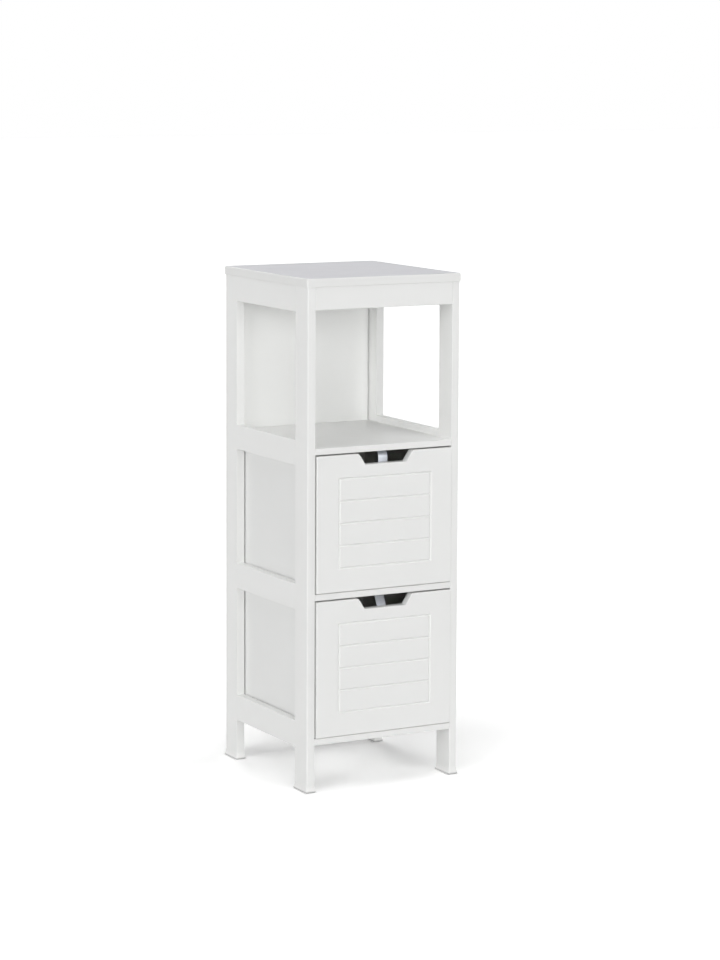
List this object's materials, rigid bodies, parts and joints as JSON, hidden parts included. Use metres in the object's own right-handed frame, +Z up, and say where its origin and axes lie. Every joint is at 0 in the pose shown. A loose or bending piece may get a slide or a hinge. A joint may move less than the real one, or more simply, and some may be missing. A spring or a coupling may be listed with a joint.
{
  "type": "bathroom cabinet",
  "caption": "Narrow white bathroom cabinet: open compartment above stacked push-in drawers with finger cut-outs, on legs with plastic foot caps.",
  "frame": {"origin": "on the floor, under the middle of the top board", "axes": "+X to the cabinet's right, +Y to its back, +Z up; the drawers open towards -Y"},
  "size_m": [0.3016, 0.3186, 0.88],
  "materials": {
    "painted_board": "white satin paint on fibreboard",
    "thin_board": "white lacquer on thin fibreboard",
    "foot_plastic": "moulded white plastic",
    "stop_steel": "zinc-plated strip",
    "fitting_zinc": "zinc-plated fittings",
    "dowel_wood": "plain beech"
  },
  "bodies": {
    "carcass": {"apron_dowels": "dowel_wood", "back_panel": "thin_board", "bottom_shelf": "painted_board", "front_apron": "painted_board", "left_back_foot_cap": "foot_plastic", "left_back_post": "painted_board", "left_bottom_rail": "painted_board", "left_front_foot_cap": "foot_plastic", "left_front_post": "painted_board", "left_lower_panel": "thin_board", "left_middle_rail": "painted_board", "left_top_rail": "painted_board", "left_upper_panel": "thin_board", "left_upper_rail": "painted_board", "lower_drawer_stop": "stop_steel", "middle_shelf": "painted_board", "open_shelf": "painted_board", "right_back_foot_cap": "foot_plastic", "right_back_post": "painted_board", "right_bottom_rail": "painted_board", "right_front_foot_cap": "foot_plastic", "right_front_post": "painted_board", "right_lower_panel": "thin_board", "right_middle_rail": "painted_board", "right_top_rail": "painted_board", "right_upper_panel": "thin_board", "right_upper_rail": "painted_board", "shelf_cam_bolts": "fitting_zinc", "shelf_cams": "fitting_zinc", "stop_screws": "fitting_zinc", "top_cam_bolts": "fitting_zinc", "top_cams": "fitting_zinc", "top_panel": "painted_board", "upper_drawer_stop": "stop_steel"},
    "upper_drawer": {"upper_drawer_back": "painted_board", "upper_drawer_bottom": "thin_board", "upper_drawer_cam_bolts": "fitting_zinc", "upper_drawer_cams": "fitting_zinc", "upper_drawer_front": "painted_board", "upper_drawer_left_side": "painted_board", "upper_drawer_right_side": "painted_board"},
    "lower_drawer": {"lower_drawer_back": "painted_board", "lower_drawer_bottom": "thin_board", "lower_drawer_cam_bolts": "fitting_zinc", "lower_drawer_cams": "fitting_zinc", "lower_drawer_front": "painted_board", "lower_drawer_left_side": "painted_board", "lower_drawer_right_side": "painted_board"}
  },
  "joints": [
    {"name": "upper_drawer_slide", "type": "slide", "parent": "carcass", "child": "upper_drawer", "axis": [0, -1, 0], "range_m": [0, 0.2595]},
    {"name": "lower_drawer_slide", "type": "slide", "parent": "carcass", "child": "lower_drawer", "axis": [0, -1, 0], "range_m": [0, 0.254]}
  ]
}
